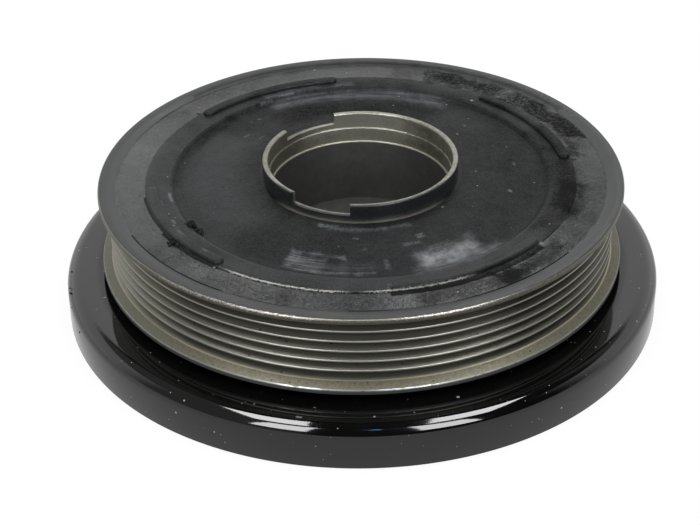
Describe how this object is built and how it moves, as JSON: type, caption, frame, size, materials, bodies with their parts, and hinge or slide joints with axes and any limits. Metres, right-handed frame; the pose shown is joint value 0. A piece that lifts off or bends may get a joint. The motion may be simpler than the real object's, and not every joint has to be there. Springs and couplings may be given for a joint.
{
  "type": "harmonic balancer",
  "caption": "Round crankshaft vibration damper with a bonded inertia ring and a rubber-decoupled multi-groove belt pulley.",
  "frame": {"origin": "centre of the inertia ring's back face, on the crankshaft axis", "axes": "+Z along the crankshaft axis from the engine side towards the open front end; +X and +Y across the ring"},
  "size_m": [0.2, 0.2, 0.0513],
  "materials": {
    "hub_steel": "dark phosphated forging, semi-matt",
    "gloss_paint": "gloss black enamel",
    "track_rubber": "matt black rubber",
    "bearing_polymer": "natural low-friction polymer",
    "bearing_bronze": "sintered bronze with a dry film",
    "pulley_steel": "rolled bare steel with an oil film, dark coated lip",
    "sheet_steel": "drawn sheet steel",
    "collar_steel": "turned steel, bare inside, dark blued outside",
    "face_rubber": "moulded rubber, matt with glossy smudges"
  },
  "bodies": {
    "root": {"crank_hub": "hub_steel", "inertia_ring": "gloss_paint", "damper_rubber": "track_rubber", "thrust_washer": "bearing_polymer", "plain_bearing": "bearing_bronze", "belt_pulley": "pulley_steel", "carrier_ring": "sheet_steel", "coupling_sleeve": "sheet_steel", "slotted_collar": "collar_steel", "coupling_rubber": "face_rubber"}
  },
  "joints": []
}
